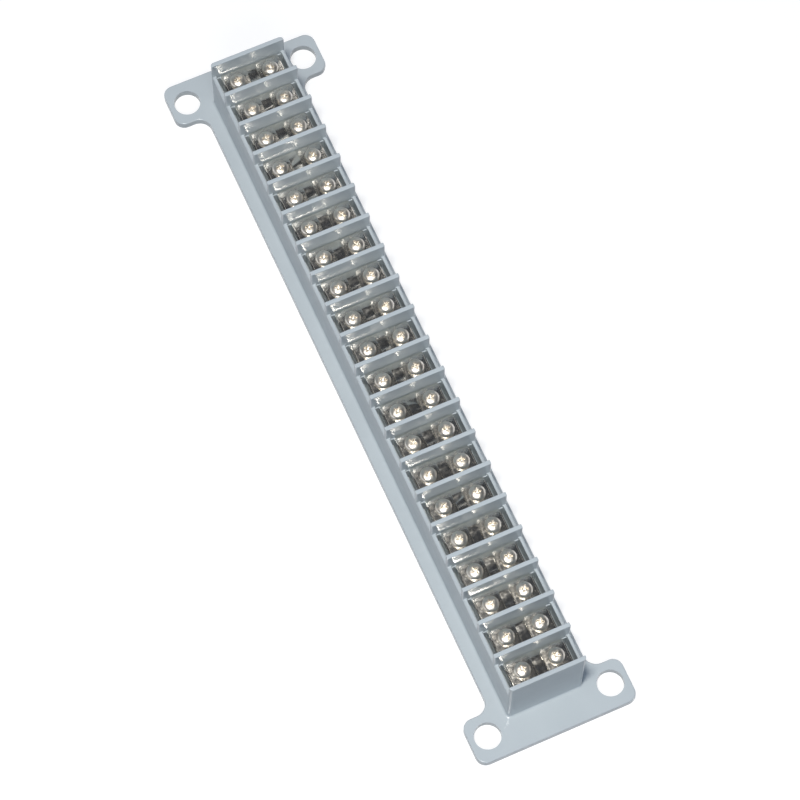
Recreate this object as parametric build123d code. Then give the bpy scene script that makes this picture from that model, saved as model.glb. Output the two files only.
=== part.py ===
from build123d import *
import os

# A barrier terminal block: one moulded strip with a row of cells, each holding a plated
# conductor bar and two terminal screws with captive square washers.
# X runs across the strip, Y along it and Z up from its underside. Millimetres.

# Row of cells
poles = 20
pitch = 12.0
barrier_thickness = 1.5
end_wall_thickness = 1.5
cell_corner_radius = 0.6

# Moulded body
body_width = 26.4
body_corner_radius = 1.2
side_wall_thickness = 1.2
side_wall_edge_radius = 0.6
cell_floor_height = 20.9
side_wall_rise = 1.6
barrier_rise = 9.1
barrier_edge_radius = 0.3
end_pocket_depth = 6.0

# Base plate with its four ears
plate_thickness = 2.8
plate_edge_radius = 0.4
ledge_width = 4.4
end_flange_length = 11.15
ear_reach = 10.4
ear_length = 15.6
ear_corner_radius = 3.5
ear_root_radius = 4.5
foot_radius = 0.8
mounting_hole_radius = 4.5
hole_from_side = 6.3
hole_from_end = 8.2

# Hollows moulded into the underside, one to a cell, between the pockets at its ends
core_end_wall = 1.2
core_rib = 2.4
core_roof = 3.4
boss_wall = 1.6

# Conductor bars
bar_end_gap = 1.5
bar_side_gap = 0.3
bar_thickness = 1.2
bar_corner_radius = 0.8
collar_wall = 1.0
collar_depth = 1.6
leg_width = 5.0
leg_length = 2.0
seat_clearance = 0.1

# Terminal screws, M3 by 8 with pan heads, and their square washers
thread_radius = 1.5
thread_clearance = 0.05
screw_length = 8.0
tip_chamfer = 0.4
head_radius = 2.8
head_height = 2.2
head_rim_height = 0.7
shoulder_inset = 0.56
shoulder_drop = 0.45
recess_span = 3.0
recess_width = 0.75
recess_depth = 1.5
recess_floor_span = 1.35
recess_floor_width = 0.6
recess_turn = 137.5
well_clearance = 0.5
well_tip_gap = 1.0
washer_end_gap = 0.4
washer_side_gap = 0.75
washer_thickness = 0.9
washer_corner_radius = 0.8
washer_edge_radius = 0.2
washer_hole_clearance = 0.15

# Slack for telling edges and corners apart
fuzz = 0.01

# Sizes that follow
cell_length = pitch - barrier_thickness
row_length = poles * pitch - barrier_thickness
body_length = row_length + 2 * end_wall_thickness
side_wall_top = cell_floor_height + side_wall_rise
barrier_top = cell_floor_height + barrier_rise
strip_width = body_width + 2 * ledge_width
plate_width = strip_width + 2 * ear_reach
plate_length = body_length + 2 * end_flange_length
hole_x = plate_width / 2 - hole_from_side
hole_y = plate_length / 2 - hole_from_end
cell_width = body_width - 2 * side_wall_thickness
cell_centres = [(i - (poles - 1) / 2) * pitch for i in range(poles)]
bar_length = cell_width - 2 * bar_end_gap
bar_width = cell_length - 2 * bar_side_gap
washer_side = bar_width - 2 * washer_side_gap
screw_x = (bar_length - washer_side) / 2 - washer_end_gap
screw_sides = {"left": -screw_x, "right": screw_x}
bar_top = cell_floor_height + bar_thickness
washer_top = bar_top + washer_thickness
screw_tip = washer_top - screw_length
shank_radius = thread_radius - thread_clearance
collar_radius = thread_radius + collar_wall
well_radius = thread_radius + well_clearance
well_bottom = screw_tip - well_tip_gap
leg_centre = bar_length / 2 - bar_thickness / 2


def block(width, length, low, high, x=0.0, y=0.0):
    """A box on its own centre in plan, between two heights."""
    return Pos(x, y, low) * Box(width, length, high - low, align=(Align.CENTER, Align.CENTER, Align.MIN))


def post(radius, low, high, x=0.0, y=0.0):
    """An upright cylinder between two heights."""
    return Pos(x, y, low) * Cylinder(radius, high - low, align=(Align.CENTER, Align.CENTER, Align.MIN))


def plate_outline():
    """Plan of the base plate: a strip with an ear at each corner."""
    outline = Rectangle(strip_width, plate_length)
    for end in (-1, 1):
        outline += Pos(0, end * (plate_length - ear_length) / 2) * Rectangle(plate_width, ear_length)
    corners = [v for v in outline.vertices() if abs(v.X) > strip_width / 2 + fuzz]
    outline = fillet(corners, ear_corner_radius)
    roots = [v for v in outline.vertices() if abs(v.X) < strip_width / 2 + fuzz]
    return fillet(roots, ear_root_radius)


def within_body(edge):
    """Whether an edge lies within the body's outline in plan."""
    middle = edge.center()
    return abs(middle.X) < body_width / 2 + fuzz and abs(middle.Y) < body_length / 2 + fuzz


def barrier(y):
    """A wall across the strip between two cells, with soft edges."""
    wall = block(body_width, barrier_thickness, cell_floor_height, barrier_top, y=y)
    soft = [e for e in wall.edges() if e.center().Z > cell_floor_height + fuzz]
    return fillet(soft, barrier_edge_radius)


def end_wall(side):
    """The wall at one end of the row, which follows the body's rounded corners."""
    outline = RectangleRounded(body_width, body_length, body_corner_radius)
    middle = side * (body_length - end_wall_thickness) / 2
    outline = outline & (Pos(0, middle) * Rectangle(body_width, end_wall_thickness))
    wall = Pos(0, 0, cell_floor_height) * extrude(outline, barrier_rise)
    return fillet(wall.edges().group_by(Axis.Z)[-1], barrier_edge_radius)


def cell_hollow(y):
    """The open cell, the seat of its bar, a pocket past each end of it and the screws' wells."""
    hollow = block(cell_width, cell_length, cell_floor_height, side_wall_top, y=y)
    hollow = fillet(hollow.edges().filter_by(Axis.Z), cell_corner_radius)
    slot_width = bar_thickness + 2 * seat_clearance
    slot_length = leg_width + 2 * seat_clearance
    slot_bottom = cell_floor_height - leg_length - 2 * seat_clearance
    pocket_bottom = cell_floor_height - end_pocket_depth
    pocket_x = (cell_width - bar_end_gap) / 2
    for side in (-1, 1):
        hollow += block(slot_width, slot_length, slot_bottom, cell_floor_height, side * leg_centre, y)
        hollow += block(bar_end_gap, bar_width, pocket_bottom, cell_floor_height, side * pocket_x, y)
    seat_bottom = cell_floor_height - collar_depth - 2 * seat_clearance
    for x in screw_sides.values():
        hollow += post(collar_radius + 2 * seat_clearance, seat_bottom, cell_floor_height, x, y)
        hollow += post(well_radius, well_bottom, cell_floor_height, x, y)
    return hollow


def core_hollow(y):
    """The hollow under one cell, with a boss left standing around each well."""
    roof = cell_floor_height - core_roof
    width = bar_length - 2 * core_end_wall
    hollow = block(width, pitch - core_rib, 0, roof, y=y)
    for x in screw_sides.values():
        hollow -= post(well_radius + boss_wall, well_bottom - boss_wall, roof, x, y)
    return hollow


def moulded_base():
    """The one-piece moulding."""
    plate = extrude(plate_outline(), plate_thickness)
    plate = fillet(plate.edges().group_by(Axis.Z)[-1], plate_edge_radius)
    body = extrude(RectangleRounded(body_width, body_length, body_corner_radius), side_wall_top)
    body = fillet(body.edges().group_by(Axis.Z)[-1], side_wall_edge_radius)
    base = plate + body
    foot = base.edges().filter_by_position(Axis.Z, plate_thickness - fuzz, plate_thickness + fuzz)
    base = fillet([e for e in foot if within_body(e)], foot_radius)
    hollows = []
    for y in cell_centres:
        hollows.append(cell_hollow(y))
        hollows.append(core_hollow(y))
    for side_x in (-1, 1):
        for side_y in (-1, 1):
            hollows.append(post(mounting_hole_radius, 0, plate_thickness, side_x * hole_x, side_y * hole_y))
    base = base - hollows
    walls = [barrier(y + pitch / 2) for y in cell_centres[:-1]]
    walls += [end_wall(-1), end_wall(1)]
    return base + walls


def conductor_bar(y):
    """A stamped bar with two tapped collars drawn down from it and a folded leg at each end."""
    bar = block(bar_length, bar_width, cell_floor_height, bar_top, y=y)
    bar = fillet(bar.edges().filter_by(Axis.Z), bar_corner_radius)
    leg_foot = cell_floor_height - leg_length
    for side in (-1, 1):
        bar += block(bar_thickness, leg_width, leg_foot, cell_floor_height, side * leg_centre, y)
    collar_foot = cell_floor_height - collar_depth
    for x in screw_sides.values():
        bar += post(collar_radius, collar_foot, cell_floor_height, x, y)
        bar -= post(thread_radius, collar_foot, bar_top, x, y)
    return bar


def cross_recess(turn):
    """The cross-shaped driver recess, whose four wings narrow towards its floor."""
    top = washer_top + head_height
    wings = []
    for quarter in (0, 90):
        mouth = Pos(0, 0, top) * Rectangle(recess_span, recess_width)
        floor = Pos(0, 0, top - recess_depth) * Rectangle(recess_floor_span, recess_floor_width)
        wings.append(Rot(0, 0, turn + quarter) * loft([mouth, floor]))
    return wings


def screw_body(turn):
    """A pan head screw on the Z axis, with its head seated on the washer."""
    top = washer_top + head_height
    rim = washer_top + head_rim_height
    shoulder = (head_radius - shoulder_inset, top - shoulder_drop)
    side = Line((shank_radius, washer_top), (head_radius, washer_top))
    side += Line((head_radius, washer_top), (head_radius, rim))
    side += Spline((head_radius, rim), shoulder, (0, top), tangents=((0, 1), (-1, 0)))
    side += Line((0, top), (0, screw_tip))
    side += Line((0, screw_tip), (shank_radius - tip_chamfer, screw_tip))
    side += Line((shank_radius - tip_chamfer, screw_tip), (shank_radius, screw_tip + tip_chamfer))
    side += Line((shank_radius, screw_tip + tip_chamfer), (shank_radius, washer_top))
    profile = Rot(90, 0, 0) * make_face(side)
    return revolve(profile, Axis.Z) - cross_recess(turn)


def square_washer():
    """The clamp washer on the Z axis, lying on the bar."""
    washer = block(washer_side, washer_side, bar_top, washer_top)
    washer = fillet(washer.edges().filter_by(Axis.Z), washer_corner_radius)
    washer = fillet(washer.edges().group_by(Axis.Z)[-1], washer_edge_radius)
    return washer - post(shank_radius + washer_hole_clearance, bar_top, washer_top)


def write(name, solids):
    """One file for each named piece."""
    export_step(Compound(label=name, children=solids), f"parts/{name}.step")


os.makedirs("parts", exist_ok=True)
write("moulded_base", moulded_base().solids())
write("conductor_bars", [conductor_bar(y).solid() for y in cell_centres])
for number, y in enumerate(cell_centres, start=1):
    for side, x in screw_sides.items():
        turn = recess_turn * (2 * number + (side == "right"))
        place = Pos(x, y, 0)
        pieces = [place * screw_body(turn), place * square_washer()]
        write(f"screw_{number:02d}_{side}", [piece.solid() for piece in pieces])
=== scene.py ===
import math
from contextlib import contextmanager
import bmesh
import bpy
from mathutils import Matrix, Vector


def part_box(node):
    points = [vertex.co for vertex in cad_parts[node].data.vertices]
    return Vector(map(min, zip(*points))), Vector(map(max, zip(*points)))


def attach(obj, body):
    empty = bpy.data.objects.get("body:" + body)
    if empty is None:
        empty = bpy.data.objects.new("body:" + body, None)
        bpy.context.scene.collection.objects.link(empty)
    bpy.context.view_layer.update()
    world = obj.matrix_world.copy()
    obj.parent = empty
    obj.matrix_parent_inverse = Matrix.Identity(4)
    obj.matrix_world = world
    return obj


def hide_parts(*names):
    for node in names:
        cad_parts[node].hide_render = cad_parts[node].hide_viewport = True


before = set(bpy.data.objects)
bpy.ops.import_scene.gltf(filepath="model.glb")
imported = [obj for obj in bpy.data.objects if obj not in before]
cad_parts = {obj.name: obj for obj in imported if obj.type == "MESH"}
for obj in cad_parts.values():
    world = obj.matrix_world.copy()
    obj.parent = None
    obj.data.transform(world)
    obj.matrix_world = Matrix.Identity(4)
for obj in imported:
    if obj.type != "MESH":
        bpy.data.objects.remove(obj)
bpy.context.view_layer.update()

# Sizes are in millimetres and turned into metres where a mesh or an object is made. Angles are in degrees
MM = 0.001

# Camera that the photograph was taken with, as fitted to the strip's own points
FOCAL_PX = 3430.3
PICTURE_PX = 800
SENSOR_WIDTH = 36.0
CAMERA_AZIMUTH = -25.05
CAMERA_ELEVATION = 67.80
CAMERA_ROLL = 1.00
CAMERA_DISTANCE = 1140.9
CAMERA_TARGET = (0.54, -5.67, 0.0)
CAMERA_NEAREST = 10.0
CAMERA_FURTHEST = 20000.0

# Lamps, all at one distance from the strip
LAMP_DISTANCE = 1300.0

# Studio, and the heights between which its backdrop fades out, where level is 0 and straight up is 1
STUDIO_COLOUR = (0.145, 0.18, 0.25)
STUDIO_DARK = (0.035, 0.038, 0.045)
BACKDROP_WHITE = (1.0, 1.0, 1.0)
BACKDROP_FADE_START = 0.22
BACKDROP_FADE_END = 0.40

# Floor, whose glow makes its lit colour up to a level just over white, so that it keeps the shadow
FLOOR_SIZE = 12000.0
FLOOR_GAP = 0.05
FLOOR_WHITE = 0.6
FLOOR_LEVEL = 1.08
FLOOR_BOUNCE = 0.10

# Threaded shanks of the terminal screws
SCREW_LENGTH = 8.0
THREAD_RADIUS = 1.45
THREAD_ROOT_RADIUS = 1.17
THREAD_PITCH = 0.5
THREAD_STEEPNESS = 1.25
TIP_TAPER = 0.5
TIP_SLOPE = 0.9
SHANK_SEGMENTS = 24
SHANK_STEPS_PER_TURN = 4

# Pan heads of the screws
HEAD_RADIUS = 2.8
HEAD_HEIGHT = 2.2
HEAD_RIM_HEIGHT = 0.7
HEAD_FOOT_RADIUS = 0.12
HEAD_SEGMENTS = 64
FOOT_STEPS = 3
DOME_STEPS = 14
DOME_POWER = 2.4
SCREW_SMOOTH_ANGLE = 32

# Cross recess, which tapers to its floor and ends in a smaller pit, and its turn from screw to screw
RECESS_SPAN = 3.0
RECESS_WIDTH = 0.78
RECESS_DEPTH = 1.55
RECESS_FLOOR_SPAN = 1.3
RECESS_FLOOR_WIDTH = 0.55
RECESS_PIT_SPAN = 0.65
RECESS_PIT_WIDTH = 0.33
RECESS_PIT_DEPTH = 0.2
RECESS_EDGE_RADIUS = 0.07
RECESS_TURN = 137.5
RECESS_FIRST_TURNS = 2
CUTTER_RISE = 0.4
CUTTER_FLARE = 0.05

# Clamp washers
WASHER_SIDE = 8.4
WASHER_CORNER_RADIUS = 0.8
WASHER_PLATE = 0.6
WASHER_HEIGHT = 0.9
WASHER_ARCH_POWER = 3
WASHER_HOLE_RADIUS = 1.6
WASHER_EDGE_RADIUS = 0.14
WASHER_CORNER_STEPS = 5
WASHER_SIDE_STEPS = 4
WASHER_SMOOTH_ANGLE = 45

# Shares of the way from the washer's hole to its rim at which its faces have rings of points
WASHER_FACE_SHARES = (0.06, 0.35, 0.7, 0.95, 1.0)

# Conductor bars
BAR_EDGE_RADIUS = 0.12
BAR_SMOOTH_ANGLE = 25

# Rounded edges, the middle of which is set in by a share of their radius, and flat faces
ROUND_INSET = 0.3
ROUND_SEGMENTS = 2
ROUND_ANGLE = 40
FLAT_ANGLE = 1
MERGE_DISTANCE = 0.0001

# Noise in the materials, whose values mostly keep to this range. Its scales are in waves to the metre
NOISE_LOW = 0.3
NOISE_HIGH = 0.7
NOISE_ROUGHNESS = 0.55


@contextmanager
def editing(mesh):
    """The mesh's own faces for editing, written back to it at the end."""
    bm = bmesh.new()
    bm.from_mesh(mesh)
    yield bm
    bm.to_mesh(mesh)
    bm.free()


def new_object(name, data):
    """Links a mesh, a light or a camera into the scene under a name."""
    obj = bpy.data.objects.new(name, data)
    bpy.context.scene.collection.objects.link(obj)
    return obj


def evaluated_copy(obj, name):
    """The object's mesh with its modifiers applied."""
    graph = bpy.context.evaluated_depsgraph_get()
    mesh = bpy.data.meshes.new_from_object(obj.evaluated_get(graph))
    mesh.name = name
    return mesh


def soften_edges(obj, radius):
    """Rounds an object's sharp edges."""
    soft = obj.modifiers.new("soft_edges", "BEVEL")
    soft.width = radius * MM
    soft.segments = ROUND_SEGMENTS
    soft.limit_method = "ANGLE"
    soft.angle_limit = math.radians(ROUND_ANGLE)


def smooth_by_angle(mesh, angle):
    """Smooth shading, apart from edges that turn by more than the given angle."""
    with editing(mesh) as bm:
        for face in bm.faces:
            face.smooth = True
        for edge in bm.edges:
            edge.smooth = len(edge.link_faces) == 2 and edge.calc_face_angle() < math.radians(angle)


def rings_to_mesh(name, rings, hoop=False):
    """A mesh skinned over rings of points, with its ends capped or, as a hoop, joined to each other."""
    mesh = bpy.data.meshes.new(name)
    with editing(mesh) as bm:
        loops = [[bm.verts.new(Vector(point) * MM) for point in ring] for ring in rings]
        steps = list(zip(loops, loops[1:]))
        if hoop:
            steps.append((loops[-1], loops[0]))
        for low, high in steps:
            for i in range(len(low)):
                j = (i + 1) % len(low)
                bm.faces.new((low[i], low[j], high[j], high[i]))
        if not hoop:
            bm.faces.new(reversed(loops[0]))
            bm.faces.new(loops[-1])
        bmesh.ops.recalc_face_normals(bm, faces=bm.faces)
    return mesh


def circle(radius, z):
    """Points round the Z axis."""
    angles = [2 * math.pi * i / HEAD_SEGMENTS for i in range(HEAD_SEGMENTS)]
    return [(radius * math.cos(angle), radius * math.sin(angle), z) for angle in angles]


def head_rings():
    """Circles up the outside of the head, from its seat to near the top of its dome."""
    rings = []
    for step in range(FOOT_STEPS + 1):
        turn = math.radians(90 * step / FOOT_STEPS)
        inset = HEAD_FOOT_RADIUS * (1 - math.sin(turn))
        rings.append(circle(HEAD_RADIUS - inset, HEAD_FOOT_RADIUS * (1 - math.cos(turn))))
    for step in range(DOME_STEPS):
        turn = math.radians(90 * step / DOME_STEPS)
        reach = math.cos(turn) ** (2 / DOME_POWER)
        rise = math.sin(turn) ** (2 / DOME_POWER)
        height = HEAD_RIM_HEIGHT + (HEAD_HEIGHT - HEAD_RIM_HEIGHT) * rise
        rings.append(circle(HEAD_RADIUS * reach, height))
    return rings


def cross_ring(span, width, z):
    """The twelve corners of a cross."""
    a = span / 2
    b = width / 2
    points = []
    for turn in range(4):
        for x, y in ((a, -b), (a, b), (b, b)):
            for _ in range(turn):
                x, y = -y, x
            points.append((x, y, z))
    return points


def recess_rings():
    """The recess from the foot of its pit to its mouth, and on above the head so that it cuts clear."""
    floor = HEAD_HEIGHT - RECESS_DEPTH
    taper = (RECESS_SPAN - RECESS_FLOOR_SPAN) / RECESS_DEPTH
    above_span = RECESS_SPAN + taper * CUTTER_RISE
    return [
        cross_ring(RECESS_PIT_SPAN, RECESS_PIT_WIDTH, floor - RECESS_PIT_DEPTH),
        cross_ring(RECESS_FLOOR_SPAN, RECESS_FLOOR_WIDTH, floor),
        cross_ring(RECESS_SPAN, RECESS_WIDTH, HEAD_HEIGHT),
        cross_ring(above_span, RECESS_WIDTH + CUTTER_FLARE, HEAD_HEIGHT + CUTTER_RISE),
    ]


def screw_head():
    """The pan head with its cross recess, standing on z = 0."""
    head = new_object("head_form", rings_to_mesh("head_form", head_rings()))
    cutter = new_object("recess_form", rings_to_mesh("recess_form", recess_rings()))
    cut = head.modifiers.new("recess", "BOOLEAN")
    cut.operation = "DIFFERENCE"
    cut.solver = "EXACT"
    cut.object = cutter
    soften_edges(head, RECESS_EDGE_RADIUS)
    mesh = evaluated_copy(head, "screw_head")
    bpy.data.objects.remove(head)
    bpy.data.objects.remove(cutter)
    return mesh


def screw_shank():
    """The threaded shank below z = 0, with the thread's ridge wound round it."""
    step = THREAD_PITCH / SHANK_STEPS_PER_TURN
    rings = []
    for row in range(round(SCREW_LENGTH / step) + 1):
        height = row * step
        taper = max(0.0, TIP_TAPER - height) * TIP_SLOPE
        ring = []
        for i in range(SHANK_SEGMENTS):
            turn = i / SHANK_SEGMENTS
            phase = (row / SHANK_STEPS_PER_TURN - turn) % 1.0
            ridge = min(1.0, THREAD_STEEPNESS * (1 - abs(2 * phase - 1)))
            radius = THREAD_ROOT_RADIUS + (THREAD_RADIUS - THREAD_ROOT_RADIUS) * ridge - taper
            angle = 2 * math.pi * turn
            ring.append((radius * math.cos(angle), radius * math.sin(angle), height - SCREW_LENGTH))
        rings.append(ring)
    return rings_to_mesh("screw_shank", rings)


def screw_mesh(material):
    """A whole screw, with its head standing on z = 0."""
    mesh = bpy.data.meshes.new("terminal_screw")
    with editing(mesh) as bm:
        for part in (screw_head(), screw_shank()):
            bm.from_mesh(part)
    smooth_by_angle(mesh, SCREW_SMOOTH_ANGLE)
    mesh.materials.append(material)
    return mesh


def washer_corners():
    """Points round the four corners of the washer, in plan."""
    reach = WASHER_SIDE / 2 - WASHER_CORNER_RADIUS
    points = []
    for quarter, (side_x, side_y) in enumerate(((1, 1), (-1, 1), (-1, -1), (1, -1))):
        centre = Vector((side_x * reach, side_y * reach))
        for step in range(WASHER_CORNER_STEPS + 1):
            angle = math.radians(90 * quarter + 90 * step / WASHER_CORNER_STEPS)
            points.append(centre + WASHER_CORNER_RADIUS * Vector((math.cos(angle), math.sin(angle))))
    return points


def washer_outline():
    """Points round the washer in plan, with more along its straight sides so that they can arch."""
    corners = washer_corners()
    points = []
    for start, end in zip(corners, corners[1:] + corners[:1]):
        points.append(start)
        if (end - start).length > 2 * WASHER_CORNER_RADIUS:
            for step in range(1, WASHER_SIDE_STEPS):
                points.append(start.lerp(end, step / WASHER_SIDE_STEPS))
    return points


def washer_mesh(material):
    """A square clamp washer on z = 0, arched so that two of its edges bear on the bar."""
    outline = washer_outline()
    reach = WASHER_SIDE / 2
    soft = WASHER_EDGE_RADIUS
    inset = ROUND_INSET * soft
    top = WASHER_HEIGHT
    low = WASHER_HEIGHT - WASHER_PLATE

    def arched(points, height):
        drops = [low * (abs(point.x) / reach) ** WASHER_ARCH_POWER for point in points]
        return [(point.x, point.y, height - drop) for point, drop in zip(points, drops)]

    def hole(wider, height):
        return [(*(point.normalized() * (WASHER_HOLE_RADIUS + wider)), height) for point in outline]

    def rim(narrower, height):
        return arched([point * (1 - narrower / reach) for point in outline], height)

    def face(share, height):
        edge = [point * (1 - soft / reach) for point in outline]
        start = [point.normalized() * (WASHER_HOLE_RADIUS + soft) for point in outline]
        return arched([near.lerp(far, share) for near, far in zip(start, edge)], height)

    rings = [hole(0.0, low + soft), hole(0.0, top - soft), hole(inset, top - inset), hole(soft, top)]
    rings += [face(share, top) for share in WASHER_FACE_SHARES]
    rings += [rim(inset, top - inset), rim(0.0, top - soft), rim(0.0, low + soft), rim(inset, low + inset)]
    rings += [face(share, low) for share in reversed(WASHER_FACE_SHARES[1:])]
    rings += [hole(soft, low), hole(inset, low + inset)]
    mesh = rings_to_mesh("washer", rings, hoop=True)
    smooth_by_angle(mesh, WASHER_SMOOTH_ANGLE)
    mesh.materials.append(material)
    return mesh


def set_inputs(tree, node, inputs):
    """Sets a node's inputs, each to a plain value or to what another node puts out."""
    for name, value in inputs.items():
        if isinstance(value, bpy.types.NodeSocket):
            tree.links.new(value, node.inputs[name])
        else:
            node.inputs[name].default_value = value


def add_node(tree, kind, inputs, **settings):
    """A new node with its settings and inputs."""
    node = tree.nodes.new(kind)
    for name, value in settings.items():
        setattr(node, name, value)
    set_inputs(tree, node, inputs)
    return node


def noise(tree, scale, detail=3.0):
    """Noise over the object's own coordinates."""
    place = tree.nodes.new("ShaderNodeTexCoord")
    made = add_node(tree, "ShaderNodeTexNoise", {
        "Scale": scale,
        "Detail": detail,
        "Roughness": NOISE_ROUGHNESS,
        "Vector": place.outputs["Object"],
    })
    return made.outputs["Fac"]


def spread(tree, value, low, high):
    """A noise value remapped between two numbers."""
    made = add_node(tree, "ShaderNodeMapRange", {
        "Value": value,
        "From Min": NOISE_LOW,
        "From Max": NOISE_HIGH,
        "To Min": low,
        "To Max": high,
    })
    return made.outputs["Result"]


def mixed_colour(tree, factor, first, second):
    """A mix of two colours, each given as a triple or as what another node puts out."""
    ends = [end if isinstance(end, bpy.types.NodeSocket) else (*end, 1.0) for end in (first, second)]
    made = add_node(tree, "ShaderNodeMix", {"Factor": factor, "A": ends[0], "B": ends[1]}, data_type="RGBA")
    return made.outputs["Result"]


def bump(tree, height, strength, depth):
    """A bump node over a height."""
    return add_node(tree, "ShaderNodeBump", {"Height": height, "Strength": strength, "Distance": depth * MM})


def moulded_plastic():
    """Satin blue-grey thermoplastic with a faint mottle and a fine moulded skin."""
    material = bpy.data.materials.new("moulded_plastic")
    material.use_nodes = True
    tree = material.node_tree
    mottle = spread(tree, noise(tree, scale=45.0), 0.0, 1.0)
    skin = bump(tree, noise(tree, scale=2600.0, detail=2.0), strength=0.03, depth=0.4)
    waves = bump(tree, noise(tree, scale=120.0, detail=2.0), strength=0.03, depth=2.0)
    set_inputs(tree, waves, {"Normal": skin.outputs["Normal"]})
    set_inputs(tree, tree.nodes["Principled BSDF"], {
        "IOR": 1.5,
        "Base Color": mixed_colour(tree, mottle, (0.490, 0.538, 0.562), (0.522, 0.570, 0.592)),
        "Roughness": spread(tree, noise(tree, scale=260.0), 0.18, 0.24),
        "Normal": waves.outputs["Normal"],
    })
    return material


def plated_metal(name, bright, stained, smooth, rough, dents):
    """Nickel plate with faint stains, uneven gloss and shallow dents."""
    material = bpy.data.materials.new(name)
    material.use_nodes = True
    tree = material.node_tree
    stain = spread(tree, noise(tree, scale=420.0, detail=4.0), 0.0, 1.0)
    dented = bump(tree, noise(tree, scale=700.0), strength=dents, depth=0.4)
    set_inputs(tree, tree.nodes["Principled BSDF"], {
        "Metallic": 1.0,
        "Base Color": mixed_colour(tree, stain, bright, stained),
        "Roughness": spread(tree, noise(tree, scale=900.0), smooth, rough),
        "Normal": dented.outputs["Normal"],
    })
    return material


def dress_base(material):
    """The moulding keeps its solid's own mesh."""
    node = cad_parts["moulded_base"]
    node.data.materials.clear()
    node.data.materials.append(material)


def make_bars(material):
    """The conductor bars, with their stamped edges softened."""
    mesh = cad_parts["conductor_bars"].data.copy()
    with editing(mesh) as bm:
        bmesh.ops.remove_doubles(bm, verts=bm.verts, dist=MERGE_DISTANCE * MM)
        flat = math.radians(FLAT_ANGLE)
        bmesh.ops.dissolve_limit(bm, angle_limit=flat, verts=bm.verts, edges=bm.edges)
    rough = new_object("bar_form", mesh)
    soften_edges(rough, BAR_EDGE_RADIUS)
    bars = new_object("plated_bars", evaluated_copy(rough, "plated_bars"))
    bpy.data.objects.remove(rough)
    smooth_by_angle(bars.data, BAR_SMOOTH_ANGLE)
    bars.data.materials.clear()
    bars.data.materials.append(material)
    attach(bars, "base")
    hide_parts("conductor_bars")


def make_screws(screw_material, washer_material):
    """Every terminal screw and its captive washer, on the screw's own body."""
    whole_screw = screw_mesh(screw_material)
    whole_washer = washer_mesh(washer_material)
    names = sorted(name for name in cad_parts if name.startswith("screw_"))
    for count, name in enumerate(names, start=RECESS_FIRST_TURNS):
        low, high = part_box(name)
        x = (low.x + high.x) / 2
        y = (low.y + high.y) / 2
        seat = low.z + SCREW_LENGTH * MM
        turn = Matrix.Rotation(math.radians(RECESS_TURN * count), 4, "Z")
        screw = new_object("terminal_" + name, whole_screw)
        screw.matrix_world = Matrix.Translation((x, y, seat)) @ turn
        # Every other washer faces about, so that the two of a cell don't carry the same stains
        flip = Matrix.Rotation(math.pi * (count % 2), 4, "Z")
        washer = new_object("washer_" + name.removeprefix("screw_"), whole_washer)
        washer.matrix_world = Matrix.Translation((x, y, seat - WASHER_HEIGHT * MM)) @ flip
        for piece in (screw, washer):
            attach(piece, name)
            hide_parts(name)


def direction(azimuth, elevation):
    """Unit vector towards a place. Azimuth 0 is the -Y side and 90 the +X side."""
    a = math.radians(azimuth)
    e = math.radians(elevation)
    return Vector((math.sin(a) * math.cos(e), -math.cos(a) * math.cos(e), math.sin(e)))


def make_camera():
    """The photograph's viewpoint."""
    back = direction(CAMERA_AZIMUTH, CAMERA_ELEVATION)
    level = direction(CAMERA_AZIMUTH + 90, 0)
    above = back.cross(level)
    roll = math.radians(CAMERA_ROLL)
    right = level * math.cos(roll) + above * math.sin(roll)
    up = above * math.cos(roll) - level * math.sin(roll)
    data = bpy.data.cameras.new("camera")
    data.sensor_fit = "HORIZONTAL"
    data.sensor_width = SENSOR_WIDTH
    data.lens = FOCAL_PX * SENSOR_WIDTH / PICTURE_PX
    data.clip_start = CAMERA_NEAREST * MM
    data.clip_end = CAMERA_FURTHEST * MM
    camera = new_object("camera", data)
    place = (Vector(CAMERA_TARGET) + back * CAMERA_DISTANCE) * MM
    turn = Matrix((right, up, back)).transposed().to_4x4()
    camera.matrix_world = Matrix.Translation(place) @ turn
    bpy.context.scene.camera = camera


def softbox(name, azimuth, elevation, width, height, share, colour):
    """A square-on area light that gives a share of the light a white sheet needs to look white."""
    data = bpy.data.lights.new(name, "AREA")
    data.shape = "RECTANGLE"
    data.size = width * MM
    data.size_y = height * MM
    data.energy = share * (math.pi * LAMP_DISTANCE * MM) ** 2
    data.color = colour
    light = new_object(name, data)
    towards = direction(azimuth, elevation)
    light.location = towards * LAMP_DISTANCE * MM
    light.rotation_euler = towards.to_track_quat("Z", "Y").to_euler()


def make_lamps():
    """A lamp high on the left, a wide cooler softbox in front and a faint one behind."""
    softbox("key", -44.0, 75.5, width=160, height=160, share=0.74, colour=(1.0, 0.975, 0.93))
    softbox("front", -20.0, 46.0, width=700, height=500, share=0.18, colour=(0.82, 0.92, 1.0))
    softbox("back", 150.0, 45.0, width=400, height=240, share=0.03, colour=(1.0, 0.98, 0.95))


def seen_directly(tree):
    """1 for camera, glossy and transmission rays, and 0 for the rest."""
    path = tree.nodes.new("ShaderNodeLightPath")
    value = path.outputs["Is Camera Ray"]
    for name in ("Is Glossy Ray", "Is Transmission Ray"):
        both = add_node(tree, "ShaderNodeMath", {0: value, 1: path.outputs[name]}, operation="MAXIMUM")
        value = both.outputs["Value"]
    return value


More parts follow.
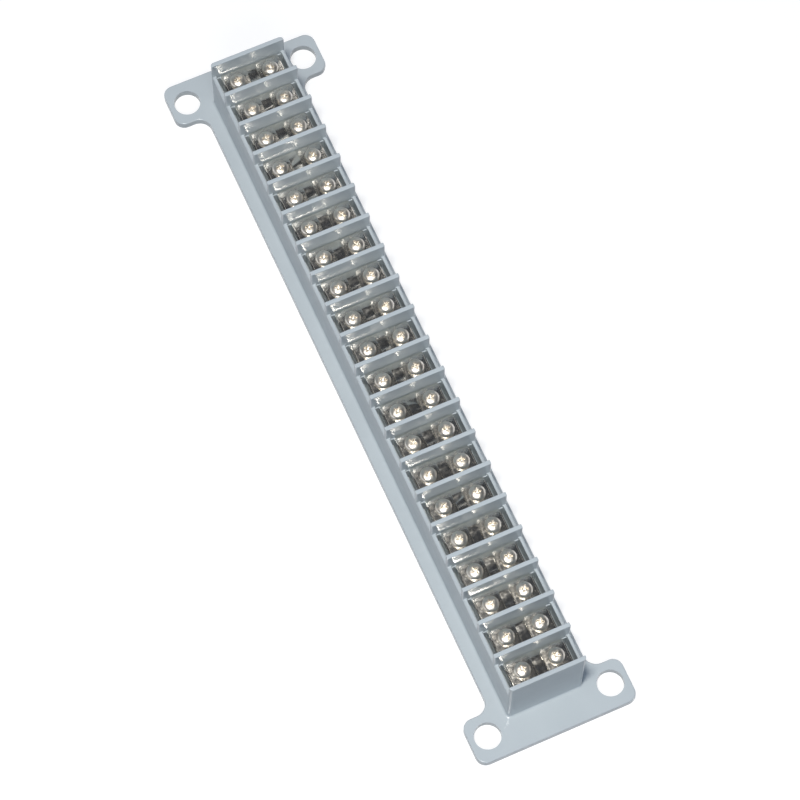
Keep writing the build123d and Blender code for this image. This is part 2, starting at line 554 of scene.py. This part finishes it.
def make_studio():
    """A dim studio that lights the object, with a backdrop for what sees it directly."""
    world = bpy.data.worlds.new("studio")
    bpy.context.scene.world = world
    world.use_nodes = True
    tree = world.node_tree
    place = tree.nodes.new("ShaderNodeTexCoord")
    split = add_node(tree, "ShaderNodeSeparateXYZ", {"Vector": place.outputs["Generated"]})
    fade = add_node(tree, "ShaderNodeMapRange", {
        "Value": split.outputs["Z"],
        "From Min": BACKDROP_FADE_START,
        "From Max": BACKDROP_FADE_END,
        "To Min": 1.0,
        "To Max": 0.0,
    }, interpolation_type="SMOOTHSTEP")
    backdrop = mixed_colour(tree, fade.outputs["Result"], STUDIO_DARK, BACKDROP_WHITE)
    studio = mixed_colour(tree, seen_directly(tree), STUDIO_COLOUR, backdrop)
    set_inputs(tree, tree.nodes["Background"], {"Color": studio, "Strength": 1.0})


def grey(level):
    """An opaque grey."""
    return (level, level, level, 1.0)


def make_floor():
    """A white floor that keeps the strip's soft shadow and throws little light back at it."""
    bpy.ops.mesh.primitive_plane_add(size=FLOOR_SIZE * MM, location=(0, 0, -FLOOR_GAP * MM))
    floor = bpy.context.object
    floor.name = "floor"
    material = bpy.data.materials.new("floor_white")
    material.use_nodes = True
    tree = material.node_tree
    tree.nodes.remove(tree.nodes["Principled BSDF"])
    bounce = add_node(tree, "ShaderNodeBsdfDiffuse", {"Color": grey(FLOOR_BOUNCE)})
    white = add_node(tree, "ShaderNodeBsdfDiffuse", {"Color": grey(FLOOR_WHITE)})
    glow = add_node(tree, "ShaderNodeEmission", {"Strength": FLOOR_LEVEL - FLOOR_WHITE})
    seen = add_node(tree, "ShaderNodeAddShader", {0: white.outputs["BSDF"], 1: glow.outputs["Emission"]})
    whole = add_node(tree, "ShaderNodeMixShader", {
        0: seen_directly(tree),
        1: bounce.outputs["BSDF"],
        2: seen.outputs["Shader"],
    })
    set_inputs(tree, tree.nodes["Material Output"], {"Surface": whole.outputs["Shader"]})
    floor.data.materials.append(material)


plastic = moulded_plastic()
screw_plate = plated_metal(
    "screw_plate", (0.96, 0.93, 0.875), (0.74, 0.69, 0.61), smooth=0.29, rough=0.44, dents=0.28
)
washer_plate = plated_metal(
    "washer_plate", (0.94, 0.92, 0.87), (0.74, 0.70, 0.62), smooth=0.15, rough=0.29, dents=0.17
)
bar_plate = plated_metal(
    "bar_plate", (0.90, 0.875, 0.82), (0.72, 0.69, 0.62), smooth=0.13, rough=0.235, dents=0.045
)
dress_base(plastic)
make_bars(bar_plate)
make_screws(screw_plate, washer_plate)
make_floor()
make_lamps()
make_studio()
make_camera()
bpy.context.scene.view_settings.view_transform = "Standard"
